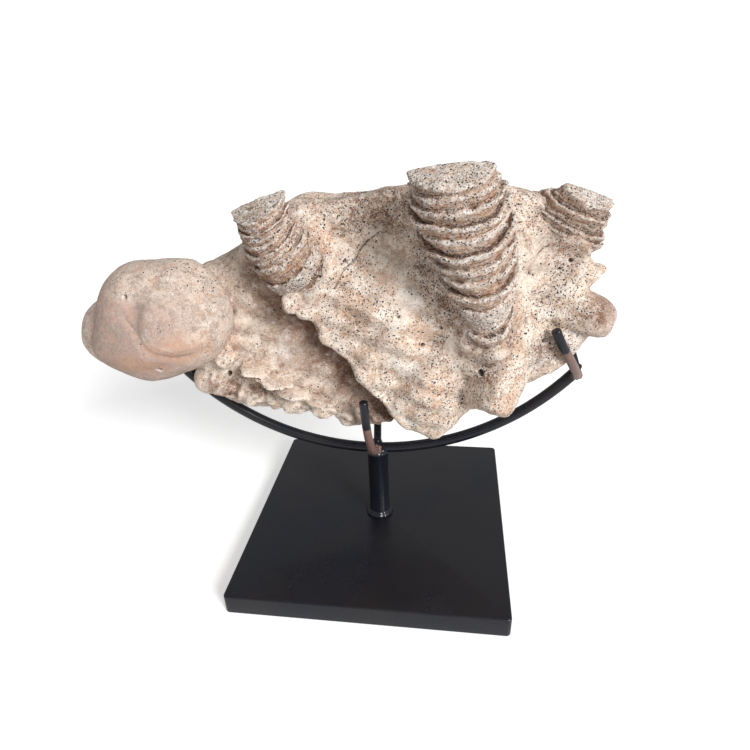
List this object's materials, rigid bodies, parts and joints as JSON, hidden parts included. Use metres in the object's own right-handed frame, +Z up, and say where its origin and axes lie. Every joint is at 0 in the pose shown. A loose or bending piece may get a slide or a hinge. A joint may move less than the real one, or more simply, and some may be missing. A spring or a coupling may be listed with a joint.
{
  "type": "giant clam shell on stand",
  "caption": "Worn giant clam valve with stacked fluted scales, held by bent arms over a square steel stand.",
  "frame": {"origin": "centre of the base plate's underside", "axes": "+Z up; +X to the right as seen from the shell's ribbed face, along the valve's length; -Y out of the ribbed face"},
  "size_m": [0.4589, 0.25, 0.3655],
  "materials": {
    "worn_shell": "chalky, full of fine pores, bone to warm orange-brown",
    "black_steel": "satin black paint",
    "worn_arm": "satin black paint, rubbed to brown steel near the bends"
  },
  "bodies": {
    "root": {"shell": "worn_shell", "base_plate": "black_steel", "post": "black_steel", "cradle_rod": "black_steel", "centre_front_arm": "worn_arm", "centre_back_arm": "worn_arm", "right_front_arm": "worn_arm", "right_back_arm": "worn_arm", "left_back_arm": "worn_arm"}
  },
  "joints": []
}
